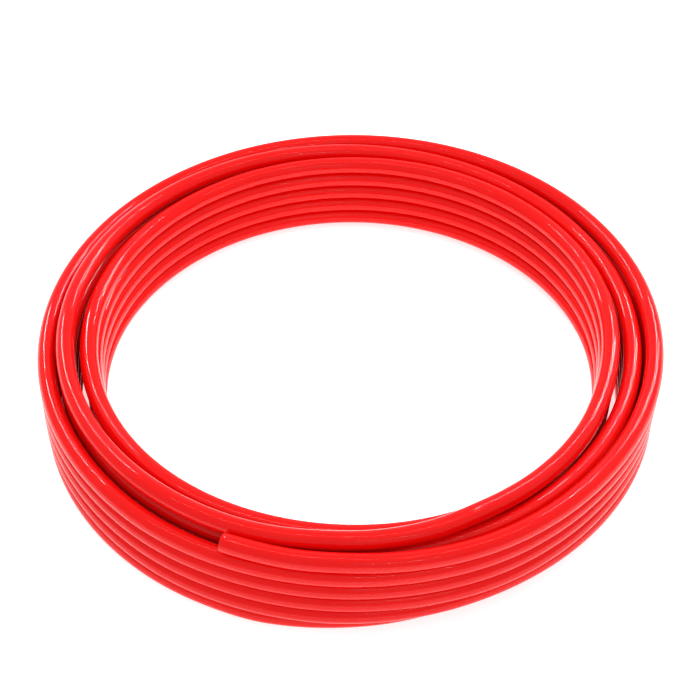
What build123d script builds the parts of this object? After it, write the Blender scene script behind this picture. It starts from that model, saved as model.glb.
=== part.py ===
"""A coil of 10 mm polyurethane air hose: one long tube wound in three layers of five rows.

The hose starts at its outer end, on top of the coil. It winds down the outer layer, crosses in
along the floor, winds up the middle layer, crosses in over the top, and winds down the inner
layer to its inner end. Each layer is one closed solid of its outer shape, a column of tube rows
carried once around a helix. The ends and the two crossings are real hollow tube.

Angles run anticlockwise, seen from above, from where the lowest rows of the outer and inner layers
end, a little short of the cut of the outer end above them. Heights are counted in rows: row 0 is
a tube lying on the floor.
"""

from build123d import *
import os
from math import asin, cos, degrees, hypot, pi, radians, sin, tan

# The tube, in millimetres
tube_od = 10.0
bore = 6.5

# The winding, where a web this wide joins the rows of a layer and leaves a groove each side of it
rows = 5
row_pitch = 10.15
web_width = 6.0
outer_radius = 169.0
middle_radius = 158.1
inner_radius = 146.2

# Where the lowest row of each layer ends, how far the fifth row goes, and the way it climbs
outer_layer = {"radius": outer_radius, "low": 0.0, "turn": 336.0, "lift": 0.015, "lefthand": True}
middle_layer = {"radius": middle_radius, "low": 60.0, "turn": 320.0, "lift": 0.167, "lefthand": False}
inner_layer = {"radius": inner_radius, "low": 0.0, "turn": 285.0, "lift": 0.06, "lefthand": True}

def corner(radius, turn):
    """The radius of a bend point this far round from where the tube runs along a layer."""
    return radius / cos(radians(turn))


# The stretches that aren't wound in a layer: angle, radius and row of each point of the route
outer_end_route = [
    (3.5, 168.4, 4.99),
    (10.0, 169.2, 4.975),
    (19.5, corner(outer_radius, 4.5), 4.955),
    (24.0, outer_radius, 4.955),
]
bottom_crossing_route = [
    (0.0, outer_radius, 0.0),
    (4.5, corner(outer_radius, 4.5), 0.0),
    (14.0, 167.1, 0.0),
    (24.0, 165.1, 0.015),
    (34.0, 163.0, 0.04),
    (44.5, 160.8, 0.09),
    (55.5, corner(middle_radius, 4.5), 0.167),
    (60.0, middle_radius, 0.167),
]
top_crossing_route = [
    (20.0, middle_radius, 5.056),
    (24.5, corner(middle_radius, 4.5), 5.056),
    (34.0, 157.6, 5.11),
    (43.0, 154.9, 5.09),
    (52.0, 151.6, 5.0),
    (61.0, 148.9, 4.9),
    (70.5, corner(inner_radius, 4.5), 4.852),
    (75.0, inner_radius, 4.852),
]
inner_end_route = [
    (0.0, inner_radius, 0.06),
    (5.5, corner(inner_radius, 5.5), 0.06),
    (15.0, 145.2, 0.03),
    (23.0, 142.6, 0.0),
]

# Both low rows end on this side, so the coil leans away from it until it rests on the floor
low_azimuth = -115.0
lean = asin(0.219 * row_pitch / outer_radius)
standing = Location((0, 0, -outer_radius * sin(lean)), (0, 0, low_azimuth))
lying = standing * Location((0, 0, 0), (0, -degrees(lean), 0))


def place_at(angle, row):
    """The coil's own place, turned to an angle and raised by some rows."""
    return lying * Location((0, 0, row * row_pitch), (0, 0, angle))


def route_point(angle, radius, row):
    """The centre of the tube at one point of a route."""
    return (place_at(angle, row) * Location((radius, 0, tube_od / 2))).position


def wound_rows(count, radius, turn, lefthand):
    """A column of tube rows, from the floor up, carried up the helix through some degrees."""
    heights = [tube_od / 2 + i * row_pitch for i in range(count)]
    with BuildPart() as wound:
        with BuildLine() as helix:
            Helix(row_pitch, row_pitch * turn / 360, radius, lefthand=lefthand)
        with BuildSketch(Plane.XZ) as column:
            with Locations(*[(radius, height) for height in heights]):
                Circle(tube_od / 2)
            with Locations((radius, (heights[0] + heights[-1]) / 2)):
                Rectangle(web_width, heights[-1] - heights[0])
        sweep(sections=column.sketch, path=helix.line, is_frenet=True)
    return wound.part


def bend_radii(points):
    """The radius of each bend: 0.45 of its shorter run, over the tangent of half its turn."""
    runs = [after - before for before, after in zip(points, points[1:])]
    radii = []
    for first, second in zip(runs, runs[1:]):
        half_turn = radians(first.get_angle(second)) / 2
        radii.append(0.45 * min(first.length, second.length) / tan(half_turn))
    return radii


def wind_layer(radius, low, turn, lift, lefthand):
    """Five rows most of the way round, and four that close the ring under or over a crossing."""
    way = -1 if lefthand else 1
    long = wound_rows(rows, radius, turn, lefthand)
    short = wound_rows(rows - 1, radius, 360 - turn, lefthand)
    return [
        long.moved(place_at(low, lift)),
        short.moved(place_at(low + way * turn, lift + turn / 360)),
    ]


def lay_tube(label, route):
    """Hollow tube along a route, with its bends as large as its runs allow."""
    points = [route_point(*step) for step in route]
    radii = bend_radii(points)
    with BuildLine() as path:
        FilletPolyline(*points, radius=radii)
    with BuildSketch(Plane(origin=path.line @ 0, z_dir=path.line % 0)) as wall:
        Circle(tube_od / 2)
        Circle(bore / 2, mode=Mode.SUBTRACT)
    tube = sweep(sections=wall.sketch, path=path.line)
    length = path.wire().length
    print(label, "length", round(length, 1), "bend radii", [round(radius) for radius in radii])
    print("  volume", round(tube.volume), "section times length", round(wall.sketch.area * length))
    return length


# The layers
outer_rows = wind_layer(**outer_layer)
middle_rows = wind_layer(**middle_layer)
inner_rows = wind_layer(**inner_layer)

with BuildPart() as coil_outer_layer:
    add(outer_rows)

with BuildPart() as coil_middle_layer:
    add(middle_rows)

with BuildPart() as coil_inner_layer:
    add(inner_rows)

# The open ends
with BuildPart() as outer_end:
    outer_end_length = lay_tube("outer_end", outer_end_route)

with BuildPart() as inner_end:
    inner_end_length = lay_tube("inner_end", inner_end_route)

# The crossings from one layer to the next
with BuildPart() as bottom_crossing:
    bottom_length = lay_tube("bottom_crossing", bottom_crossing_route)

with BuildPart() as top_crossing:
    top_length = lay_tube("top_crossing", top_crossing_route)

# The length of the whole hose, along its centre
wound_length = 0.0
for layer in (outer_layer, middle_layer, inner_layer):
    once_around = hypot(2 * pi * layer["radius"], row_pitch)
    wound_length += once_around * (rows - 1 + layer["turn"] / 360)
hose_length = wound_length + outer_end_length + bottom_length + top_length + inner_end_length
print("hose length", round(hose_length), "of which wound", round(wound_length))

os.makedirs("parts", exist_ok=True)
coil_outer_layer.part.label = "coil_outer_layer"
coil_middle_layer.part.label = "coil_middle_layer"
coil_inner_layer.part.label = "coil_inner_layer"
outer_end.part.label = "outer_end"
inner_end.part.label = "inner_end"
bottom_crossing.part.label = "bottom_crossing"
top_crossing.part.label = "top_crossing"
export_step(coil_outer_layer.part, "parts/coil_outer_layer.step")
export_step(coil_middle_layer.part, "parts/coil_middle_layer.step")
export_step(coil_inner_layer.part, "parts/coil_inner_layer.step")
export_step(outer_end.part, "parts/outer_end.step")
export_step(inner_end.part, "parts/inner_end.step")
export_step(bottom_crossing.part, "parts/bottom_crossing.step")
export_step(top_crossing.part, "parts/top_crossing.step")
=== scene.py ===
"""A coil of red polyurethane air hose on a pale floor.

One tube is wound down an outer layer, up a middle layer and down an inner layer, five rows in
each. Angles run anticlockwise, seen from above, from where the low rows of the outer and inner
layers end, a little short of the cut of the outer end above them. They keep counting from turn
to turn, so that the whole hose is one list. Heights are counted in rows, and row 0 is a tube
lying on the floor. Everything else is in metres.
"""

from math import asin, cos, exp, pi, radians, sin

import bmesh
import bpy
from bpy.props import FloatProperty, FloatVectorProperty, IntProperty, PointerProperty
from mathutils import Matrix, Vector


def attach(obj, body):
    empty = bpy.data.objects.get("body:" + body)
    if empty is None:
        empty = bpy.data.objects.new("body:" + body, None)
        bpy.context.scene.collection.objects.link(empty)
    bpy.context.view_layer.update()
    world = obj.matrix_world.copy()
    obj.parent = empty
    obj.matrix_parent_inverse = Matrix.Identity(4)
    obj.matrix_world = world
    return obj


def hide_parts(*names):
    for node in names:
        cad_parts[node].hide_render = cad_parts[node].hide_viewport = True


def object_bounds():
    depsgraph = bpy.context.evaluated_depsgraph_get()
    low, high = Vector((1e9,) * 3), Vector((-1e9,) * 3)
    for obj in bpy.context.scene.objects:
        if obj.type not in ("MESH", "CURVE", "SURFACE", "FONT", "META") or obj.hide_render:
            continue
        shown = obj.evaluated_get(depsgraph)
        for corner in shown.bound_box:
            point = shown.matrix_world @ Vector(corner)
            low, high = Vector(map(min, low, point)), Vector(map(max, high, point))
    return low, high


bl_info = {
    "name": "Coiled Air Hose",
    "version": (1, 0, 0),
    "blender": (4, 5, 0),
    "location": "3D View > Sidebar > Air Hose",
    "description": "Winds a length of air hose into a layered coil and lights it on a pale floor",
    "category": "Object",
}

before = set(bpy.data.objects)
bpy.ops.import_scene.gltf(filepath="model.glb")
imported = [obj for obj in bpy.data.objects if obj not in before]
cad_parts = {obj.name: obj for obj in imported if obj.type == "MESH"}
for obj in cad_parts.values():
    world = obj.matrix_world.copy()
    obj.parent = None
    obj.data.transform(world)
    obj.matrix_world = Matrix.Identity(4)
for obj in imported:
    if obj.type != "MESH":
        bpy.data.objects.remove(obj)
cad_low, cad_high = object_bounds()

# The stretches that aren't wound in a layer: angle, radius and row of each point of the route.
# The first point is the cut of the outer end, and the last the cut of the inner end.
OUTER_END = [(3.5, 0.1684, 4.99), (10.0, 0.1691, 4.975), (19.5, 0.1696, 4.955)]
BOTTOM_CROSSING = [
    (1806.0, 0.1690, 0.0),
    (1815.0, 0.1673, 0.0),
    (1824.0, 0.1655, 0.01),
    (1833.0, 0.1641, 0.03),
    (1843.0, 0.1622, 0.07),
    (1853.0, 0.1601, 0.13),
    (1863.0, 0.1586, 0.175),
]
TOP_CROSSING = [
    (3624.5, 0.1570, 5.056),
    (3633.0, 0.1566, 5.11),
    (3641.0, 0.1553, 5.10),
    (3648.5, 0.1523, 5.04),
    (3656.5, 0.1509, 4.95),
    (3665.0, 0.1499, 4.88),
    (3675.0, 0.1488, 4.855),
    (3686.0, 0.1474, 4.824),
]
INNER_END = [(5405.5, 0.14688, 0.06), (5415.0, 0.1452, 0.03), (5423.0, 0.1426, 0.0)]

# Where a turn strays from its layer: the angle, how far along it reaches each way, and how far out
# (negative is inward)
BULGES = [
    *[(53.0 + 360 * turn, 12.0, 0.0015) for turn in range(4)],
    *[(349.0 + 360 * turn, 10.0, 0.0006) for turn in range(4)],
    (1493.0, 20.0, -0.0016),
    (1795.0, 14.0, -0.0008),
    *[(1900.0 + 360 * turn, 25.0, 0.0004) for turn in range(4)],
    *[(2110.0 + 360 * turn, 25.0, 0.0003) for turn in range(4)],
    (3700.0, 22.0, -0.0006),
    (3978.0, 35.0, -0.0019),
    *[(4060.0 + 360 * turn, 26.0, -0.0015) for turn in range(4)],
    *[(4270.0 + 360 * turn, 26.0, -0.0013) for turn in range(4)],
]

# A spline lies inside its control points, by this much where 24 of them go once round
POINTS_PER_TURN = 24
INSIDE = (6 + 2 * cos(2 * pi / POINTS_PER_TURN)) / 8

# Where each layer's first turn begins: its angle, and its row there
OUTER_START = (0.0, 5.015)
MIDDLE_START = (1800.0, 0.0)
INNER_START = (3600.0, 5.06)

# The outer layer is very slightly oval: by how much each way, and where it is widest
OVAL = 0.0005
WIDEST = 5.5

# How far the coil leans off the side where the low rows end, in rows over its radius
LEAN = 0.219

# Rings of the wall for each point of the route, and how many of them go by for a ring of the bore
RINGS_PER_POINT = 8
BORE_EVERY = 4

# How much of each corner of a cut end is broken
BROKEN = 0.0002


class HoseSizes(bpy.types.PropertyGroup):
    """The tube and the way it is wound."""

    tube: FloatProperty(
        name="Tube", description="Outside diameter of the tube", default=0.010, unit="LENGTH"
    )
    bore: FloatProperty(
        name="Bore", description="Inside diameter of the tube", default=0.0065, unit="LENGTH"
    )
    row_pitch: FloatProperty(
        name="Row pitch",
        description="Height from one row to the next",
        default=0.01015,
        precision=5,
        unit="LENGTH",
    )
    outer_radius: FloatProperty(
        name="Outer layer", description="Radius of the outer layer", default=0.169, unit="LENGTH"
    )
    middle_radius: FloatProperty(
        name="Middle layer",
        description="Radius of the middle layer",
        default=0.1576,
        unit="LENGTH",
    )
    inner_radius: FloatProperty(
        name="Inner layer", description="Radius of the inner layer", default=0.1454, unit="LENGTH"
    )
    low_azimuth: FloatProperty(
        name="Low rows' end",
        description="Where the low rows end, round the coil",
        default=radians(-115),
        subtype="ANGLE",
        unit="ROTATION",
    )
    looseness: FloatProperty(
        name="Looseness",
        description="How far a turn strays in or out of its layer",
        default=0.00022,
        precision=5,
        unit="LENGTH",
    )
    segments: IntProperty(
        name="Segments", description="Faces round the tube's wall", default=26, min=8, max=64
    )


class HoseFinish(bpy.types.PropertyGroup):
    """The look of the polyurethane."""

    red: FloatVectorProperty(
        name="Red",
        description="The tube's colour",
        default=(0.85, 0.0050, 0.0045),
        subtype="COLOR",
    )
    deep_red: FloatVectorProperty(
        name="Deep red",
        description="The colour where the pigment is denser",
        default=(0.79, 0.0035, 0.0035),
        subtype="COLOR",
    )
    cut_red: FloatVectorProperty(
        name="Cut face",
        description="The colour of the freshly cut wall",
        default=(0.80, 0.030, 0.025),
        subtype="COLOR",
    )
    roughness: FloatProperty(
        name="Roughness",
        description="How much the wall blurs a reflection",
        default=0.035,
        min=0.0,
        max=1.0,
        subtype="FACTOR",
    )
    draw_lines: FloatProperty(
        name="Draw lines",
        description="Depth of the fine lines that the die leaves along the tube",
        default=0.0000007,
        precision=8,
        unit="LENGTH",
    )


class StageSettings(bpy.types.PropertyGroup):
    """The floor, the lights and the camera."""

    floor: FloatVectorProperty(
        name="Floor", description="The floor's colour", default=(0.93, 0.93, 0.93), subtype="COLOR"
    )
    glow: FloatProperty(
        name="Floor glow", description="Light that comes up through the floor", default=0.65
    )
    surroundings: FloatProperty(
        name="Surroundings", description="Brightness of the room around", default=0.69
    )
    light: FloatProperty(
        name="Light", description="Strength of all lamps together", default=1.0, min=0.0
    )
    lens: FloatProperty(
        name="Lens", description="Focal length of the camera, in millimetres", default=75.24
    )


class Value:
    """A socket of a material, which adds Math nodes when it is used in a sum."""

    def __init__(self, finish, socket):
        self.finish = finish
        self.socket = socket

    def math(self, operation, first, second):
        return self.finish.node("ShaderNodeMath", {"operation": operation}, {0: first, 1: second})

    def __add__(self, other):
        return self.math("ADD", self, other)

    def __radd__(self, other):
        return self.math("ADD", other, self)

    def __sub__(self, other):
        return self.math("SUBTRACT", self, other)

    def __rsub__(self, other):
        return self.math("SUBTRACT", other, self)

    def __rmul__(self, other):
        return self.math("MULTIPLY", other, self)


class Finish:
    """A new material with its own nodes."""

    def __init__(self, name):
        self.material = bpy.data.materials.new(name)
        self.material.use_nodes = True
        self.tree = self.material.node_tree
        self.tree.nodes.clear()

    def node(self, kind, settings=None, sockets=None, output=0):
        """A node of this kind: its settings first, then a value or a link for each socket."""
        node = self.tree.nodes.new(kind)
        for name, setting in (settings or {}).items():
            if name == "stops":
                for element, (position, colour) in zip(node.color_ramp.elements, setting):
                    element.position = position
                    element.color = colour
            else:
                setattr(node, name, setting)
        for name, value in (sockets or {}).items():
            if isinstance(value, Value):
                self.tree.links.new(value.socket, node.inputs[name])
            else:
                node.inputs[name].default_value = value
        return Value(self, node.outputs[output]) if node.outputs else None

    def stretched(self, place, around, along):
        """The unrolled hose's place, scaled around the tube and along it."""
        return self.node(
            "ShaderNodeVectorMath",
            {"operation": "MULTIPLY"},
            {0: place, 1: (around, around, along)},
        )

    def noise(self, place, around, along, detail=2.0):
        """Noise of this many blotches to the metre around the tube and along it, from 0 to 1."""
        return self.node(
            "ShaderNodeTexNoise",
            {"noise_dimensions": "3D"},
            {"Vector": self.stretched(place, around, along), "Scale": 1.0, "Detail": detail},
        )

    def ramp(self, factor, low, high):
        """0 below low, 1 above high, and straight between."""
        return self.node(
            "ShaderNodeMapRange",
            {"clamp": True},
            {"Value": factor, "From Min": low, "From Max": high},
        )

    def mix(self, factor, first, second):
        """One colour fading into another."""
        return self.node(
            "ShaderNodeMix",
            {"data_type": "RGBA"},
            {"Factor": factor, 6: first, 7: second},
            output=2,
        )

    def plastic(self, colour, roughness, coat, height, distance, constants):
        """Principled plastic, as the material's surface."""
        normal = self.node(
            "ShaderNodeBump", {}, {"Height": height, "Distance": distance, "Strength": 1.0}
        )
        shader = self.node(
            "ShaderNodeBsdfPrincipled",
            {},
            {
                "Base Color": colour,
                "Roughness": roughness,
                "Coat Weight": coat,
                "Normal": normal,
                **constants,
            },
        )
        self.node("ShaderNodeOutputMaterial", {}, {"Surface": shader})
        return self.material


def opaque(colour):
    """A colour property as the four numbers that a node takes."""
    return (*colour, 1.0)


def wall_material(finish_settings):
    """Glossy polyurethane, with fine lines along it, slow changes of tone, and light rubbing."""
    f = Finish("hose_wall")
    place = f.node("ShaderNodeAttribute", {"attribute_name": "straight"}, {}, output="Vector")
    lines = f.noise(place, 2600.0, 5.0, detail=3.0)
    waves = f.noise(place, 170.0, 22.0, detail=1.0)
    tone = f.noise(place, 40.0, 3.5, detail=2.0)
    rubbing = f.ramp(f.noise(place, 420.0, 60.0, detail=5.0), 0.60, 0.74)
    specks = f.ramp(f.noise(place, 1900.0, 1900.0, detail=1.0), 0.70, 0.78)
    colour = f.mix(
        f.ramp(0.7 * tone + 0.3 * lines, 0.35, 0.65),
        opaque(finish_settings.deep_red),
        opaque(finish_settings.red),
    )
    roughness = (finish_settings.roughness - 0.03) + 0.04 * lines + 0.09 * rubbing + 0.1 * specks
    coat = 0.10 - 0.07 * rubbing
    height = lines + 6.0 * waves - 0.6 * specks - 0.3 * rubbing
    return f.plastic(
        colour,
        roughness,
        coat,
        height,
        finish_settings.draw_lines,
        {"IOR": 1.5, "Specular IOR Level": 0.17, "Coat Roughness": 0.04, "Coat IOR": 1.5},
    )


def cut_material(finish_settings):
    """The cut wall: paler and matt, with the marks of the blade drawn across it."""
    f = Finish("hose_cut")
    place = f.node("ShaderNodeAttribute", {"attribute_name": "straight"}, {}, output="Vector")
    across = f.node(
        "ShaderNodeVectorMath", {"operation": "MULTIPLY"}, {0: place, 1: (5200.0, 260.0, 260.0)}
    )
    marks = f.node(
        "ShaderNodeTexNoise",
        {"noise_dimensions": "3D"},
        {"Vector": across, "Scale": 1.0, "Detail": 3.0},
    )
    grain = f.noise(place, 2400.0, 2400.0, detail=3.0)
    colour = f.mix(
        0.6 * marks + 0.4 * grain, opaque(finish_settings.red), opaque(finish_settings.cut_red)
    )
    roughness = 0.34 + 0.22 * marks
    height = marks + 0.5 * grain
    return f.plastic(
        colour, roughness, 0.1 + 0.1 * grain, height, 0.00003, {"IOR": 1.5, "Coat Roughness": 0.3}
    )


def floor_material(stage_settings):
    """Pale, matt and even, with the faintest grain."""
    f = Finish("floor")
    place = f.node("ShaderNodeTexCoord", {}, {}, output="Object")
    grain = f.noise(place, 60.0, 60.0)
    pale = opaque(stage_settings.floor)
    paler = opaque([min(1.0, channel * 1.02) for channel in stage_settings.floor])
    glow = {"Emission Color": (1.0, 1.0, 1.0, 1.0), "Emission Strength": stage_settings.glow}
    return f.plastic(
        f.mix(grain, pale, paler), 0.82 + 0.06 * grain, 0.0, grain, 0.00002, {"IOR": 1.4, **glow}
    )


def lying(sizes):
    """The coil's own place. Two low rows end on the same side, so it leans off that side."""
    lean = asin(LEAN * sizes.row_pitch / sizes.outer_radius)
    drop = Matrix.Translation((0, 0, -sizes.outer_radius * sin(lean)))
    turn = Matrix.Rotation(sizes.low_azimuth, 4, "Z")
    return drop @ turn @ Matrix.Rotation(-lean, 4, "Y")


def route_point(sizes, angle, radius, row):
    """The centre of the tube at an angle, a radius and a row."""
    turned = radians(angle)
    height = sizes.tube / 2 + row * sizes.row_pitch
    return lying(sizes) @ Vector((radius * cos(turned), radius * sin(turned), height))


def standing_out(sizes, angle):
    """How far the tube is from its layer's radius at this angle."""
    out = sizes.looseness * (sin(radians(0.83 * angle)) + 0.5 * sin(radians(2.1 * angle + 40)))
    if angle < MIDDLE_START[0]:
        out += OVAL * cos(radians(2 * (angle - WIDEST)))
    for centre, reach, size in BULGES:
        out += size * exp(-(((angle - centre) / reach) ** 2))
    return out


def wound_points(sizes, radius, first, last, start, climb):
    """Control points from just after one angle to just before another, 24 to the turn."""
    steps = round((last - first) / (360 / POINTS_PER_TURN))
    start_angle, start_row = start
    points = []
    for step in range(1, steps):
        angle = first + (last - first) * step / steps
        row = start_row + climb * (angle - start_angle) / 360
        here = (radius + standing_out(sizes, angle)) / INSIDE
        points.append(route_point(sizes, angle, here, row))
    return points


def hose_route(sizes):
    """The control points of the whole hose, from its outer end to its inner end."""
    # Each layer, with the stretches before and after it, and how many rows it climbs in a turn
    layers = (
        (OUTER_END, sizes.outer_radius, OUTER_START, -1, BOTTOM_CROSSING),
        (BOTTOM_CROSSING, sizes.middle_radius, MIDDLE_START, 1, TOP_CROSSING),
        (TOP_CROSSING, sizes.inner_radius, INNER_START, -1, INNER_END),
    )
    points = []
    for before, radius, start, climb, after in layers:
        points += [route_point(sizes, *step) for step in before]
        points += wound_points(sizes, radius, before[-1][0], after[0][0], start, climb)
    points += [route_point(sizes, *step) for step in INNER_END]
    return points


def spline_points(points, steps):
    """Points along the smooth spline that these control points make."""
    curve = bpy.data.curves.new("hose_route", "CURVE")
    curve.dimensions = "3D"
    spline = curve.splines.new("NURBS")
    spline.points.add(len(points) - 1)
    for control, point in zip(spline.points, points):
        control.co = (*point, 1.0)
    spline.order_u = 3
    spline.use_endpoint_u = True
    spline.resolution_u = steps
    holder = bpy.data.objects.new("hose_route", curve)
    line = bpy.data.meshes.new_from_object(holder)
    read = [vertex.co.copy() for vertex in line.vertices]
    bpy.data.objects.remove(holder)
    bpy.data.curves.remove(curve)
    bpy.data.meshes.remove(line)
    if len(read) < len(points):
        raise RuntimeError("the hose's spline gave too few points to build a tube on")
    return read


def stations(line):
    """Each point of a line, with the ways along, sideways and upwards, and the length so far."""
    found = []
    so_far = 0.0
    for index, point in enumerate(line):
        before = line[max(index - 1, 0)]
        after = line[min(index + 1, len(line) - 1)]
        so_far += (point - before).length
        along = (after - before).normalized()
        side = along.cross(Vector((0, 0, 1))).normalized()
        found.append((point, along, side, side.cross(along), so_far))
    return found


def add_ring(mesh, station, radius, offset, segments, straight):
    """A ring of vertices round the line, with each one's place on the hose laid out straight."""
    point, along, side, up, so_far = station
    ring = []
    for index in range(segments):
        angle = 2 * pi * index / segments
        across, rise = radius * cos(angle), radius * sin(angle)
        vertex = mesh.verts.new(point + side * across + up * rise + along * offset)
        vertex[straight] = (across, rise, so_far + offset)
        ring.append(vertex)
    return ring


def join_rings(mesh, first, second, material):
    """Faces from one ring to the next."""
    for index in range(len(first)):
        after = (index + 1) % len(first)
        face = mesh.faces.new((first[index], first[after], second[after], second[index]))
        face.smooth = True
        face.material_index = material


def tube_mesh(name, line, outside, inside, segments):
    """A hollow tube along a line, with the corners of its cut ends just broken."""
    mesh = bmesh.new()
    straight = mesh.verts.layers.float_vector.new("straight")
    marks = stations(line)
    wall, cut = 0, 1

    def ring(station, radius, offset=0.0):
        return add_ring(mesh, station, radius, offset, segments, straight)

    rings = [ring(marks[0], outside - BROKEN), ring(marks[0], outside, BROKEN)]
    rings += [ring(mark, outside) for mark in marks[1:-1]]
    rings += [ring(marks[-1], outside, -BROKEN), ring(marks[-1], outside - BROKEN)]
    bore_rings = [ring(marks[-1], inside + BROKEN), ring(marks[-1], inside, -BROKEN)]
    way_back = slice(-1 - BORE_EVERY, BORE_EVERY - 1, -BORE_EVERY)
    bore_rings += [ring(mark, inside) for mark in marks[way_back]]
    bore_rings += [ring(marks[0], inside, BROKEN), ring(marks[0], inside + BROKEN)]
    for rows_of_rings in (rings, bore_rings):
        for first, second in zip(rows_of_rings, rows_of_rings[1:]):
            join_rings(mesh, first, second, wall)
    join_rings(mesh, rings[-1], bore_rings[0], cut)
    join_rings(mesh, bore_rings[-1], rings[0], cut)
    for face in mesh.faces:
        if face.material_index == cut:
            face.smooth = False
    bmesh.ops.recalc_face_normals(mesh, faces=mesh.faces)
    data = bpy.data.meshes.new(name)
    mesh.to_mesh(data)
    mesh.free()
    return data


class HOSE_OT_wind(bpy.types.Operator):
    """Wind the hose into its coil, and give it its finish"""

    bl_idname = "air_hose.wind"
    bl_label = "Wind the Hose"

    def execute(self, context):
        sizes = context.scene.hose_sizes
        finish_settings = context.scene.hose_finish
        route = hose_route(sizes)
        line = spline_points(route, RINGS_PER_POINT)
        data = tube_mesh("air_hose", line, sizes.tube / 2, sizes.bore / 2, sizes.segments)
        data.materials.append(wall_material(finish_settings))
        data.materials.append(cut_material(finish_settings))
        hose = bpy.data.objects.new("air_hose", data)
        context.scene.collection.objects.link(hose)
        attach(hose, "root")
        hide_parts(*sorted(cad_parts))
        return {"FINISHED"}


# Lamps: name, place, what it points at, width, depth and power
LAMPS = [
    ("overhead", (0.0, 0.10, 1.60), (0.0, 0.0, 0.0), 1.80, 0.05, 3.8),
    ("back_right", (0.75, 1.20, 1.45), (0.0, 0.0, 0.0), 0.04, 1.00, 13.0),
    ("back_right_low", (1.15, 1.10, 1.15), (0.0, 0.0, 0.0), 0.04, 0.70, 7.5),
    ("back_left", (-0.85, 1.15, 1.35), (0.0, 0.0, 0.0), 0.04, 0.90, 12.0),
    ("front", (0.5, -1.50, 1.60), (0.0, 0.0, 0.0), 1.0, 0.04, 3.0),
]


class HOSE_OT_stage(bpy.types.Operator):
    """Lay the floor, hang the lamps and place the camera"""

    bl_idname = "air_hose.stage"
    bl_label = "Set the Stage"

    def execute(self, context):
        settings = context.scene.hose_stage
        self.lay_floor(context, settings)
        for lamp in LAMPS:
            self.hang_lamp(context, settings, *lamp)
        self.light_room(context, settings)
        self.place_camera(context, settings)
        return {"FINISHED"}

    def lay_floor(self, context, settings):
        """A wide pale sheet, just under the hose."""
        mesh = bmesh.new()
        bmesh.ops.create_grid(mesh, x_segments=8, y_segments=8, size=30.0)
        data = bpy.data.meshes.new("floor")
        mesh.to_mesh(data)
        mesh.free()
        data.materials.append(floor_material(settings))
        floor = bpy.data.objects.new("floor", data)
        floor.location.z = cad_low.z - 0.0001
        context.scene.collection.objects.link(floor)

    def hang_lamp(self, context, settings, name, place, target, width, depth, power):
        """A soft box turned to what it lights."""
        data = bpy.data.lights.new(name, "AREA")
        data.shape = "RECTANGLE"
        data.size = width
        data.size_y = depth
        data.energy = power * settings.light
        lamp = bpy.data.objects.new(name, data)
        lamp.location = place
        towards = Vector(target) - Vector(place)
        lamp.rotation_euler = towards.to_track_quat("-Z", "Y").to_euler()
        context.scene.collection.objects.link(lamp)

    def light_room(self, context, settings):
        """Even light from all round."""
        world = bpy.data.worlds.new("room")
        world.use_nodes = True
        background = world.node_tree.nodes["Background"]
        background.inputs["Color"].default_value = (1.0, 1.0, 1.0, 1.0)
        background.inputs["Strength"].default_value = settings.surroundings
        context.scene.world = world
        context.scene.view_settings.view_transform = "Standard"
        context.scene.view_settings.look = "None"

    def place_camera(self, context, settings):
        """A camera in front, looking down at the coil."""
        data = bpy.data.cameras.new("camera")
        data.lens = settings.lens
        data.sensor_width = 36.0
        data.clip_start = 0.01
        camera = bpy.data.objects.new("camera", data)
        camera.location = (0.00032, -0.58372, 0.62269)
        camera.rotation_euler = (radians(44.5024), 0.0, 0.0)
        context.scene.collection.objects.link(camera)
        context.scene.camera = camera


class HOSE_PT_panel(bpy.types.Panel):
    """The hose's sizes and finish, and the stage"""

    bl_idname = "HOSE_PT_panel"
    bl_label = "Coiled Air Hose"
    bl_space_type = "VIEW_3D"
    bl_region_type = "UI"
    bl_category = "Air Hose"

    def draw(self, context):
        scene = context.scene
        for title, settings in (
            ("Hose", scene.hose_sizes),
            ("Finish", scene.hose_finish),
            ("Stage", scene.hose_stage),
        ):
            box = self.layout.box()
            box.label(text=title)
            for name in settings.__annotations__:
                box.prop(settings, name)
        self.layout.operator(HOSE_OT_wind.bl_idname)
        self.layout.operator(HOSE_OT_stage.bl_idname)


CLASSES = (HoseSizes, HoseFinish, StageSettings, HOSE_OT_wind, HOSE_OT_stage, HOSE_PT_panel)


def register():
    for made in CLASSES:
        bpy.utils.register_class(made)
    bpy.types.Scene.hose_sizes = PointerProperty(type=HoseSizes)
    bpy.types.Scene.hose_finish = PointerProperty(type=HoseFinish)
    bpy.types.Scene.hose_stage = PointerProperty(type=StageSettings)


def unregister():
    del bpy.types.Scene.hose_stage
    del bpy.types.Scene.hose_finish
    del bpy.types.Scene.hose_sizes
    for made in reversed(CLASSES):
        bpy.utils.unregister_class(made)


def main():
    register()
    bpy.ops.air_hose.wind()
    bpy.ops.air_hose.stage()


if __name__ == "__main__":
    main()
